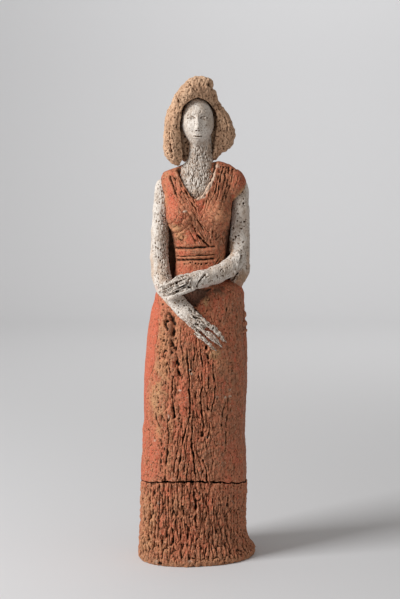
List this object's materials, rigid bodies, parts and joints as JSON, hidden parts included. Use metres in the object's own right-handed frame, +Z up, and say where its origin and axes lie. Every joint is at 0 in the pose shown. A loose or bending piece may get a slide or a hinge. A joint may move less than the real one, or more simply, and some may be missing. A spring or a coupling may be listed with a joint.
{
  "type": "terracotta figurine",
  "caption": "Hand-built terracotta figurine of a slim standing woman in a long wrapped orange-red dress, with crossed forearms, that stands on the hem of its skirt.",
  "frame": {"origin": "on the ground, at the middle of the hem's box", "axes": "+Z up, -Y the way the figure faces, +X to the figure's own left"},
  "size_m": [0.1246, 0.1018, 0.5003],
  "materials": {
    "red_painted_clay": "orange-red slip, matte, brushed thin over coarse grogged clay and worn to the clay on edges",
    "white_painted_clay": "chalky white slip, matte, rubbed over a pitted clay surface",
    "bare_clay": "bare fired clay, tan, coarse and pitted, unglazed"
  },
  "bodies": {
    "root": {"figurine": "red_painted_clay"}
  },
  "joints": []
}
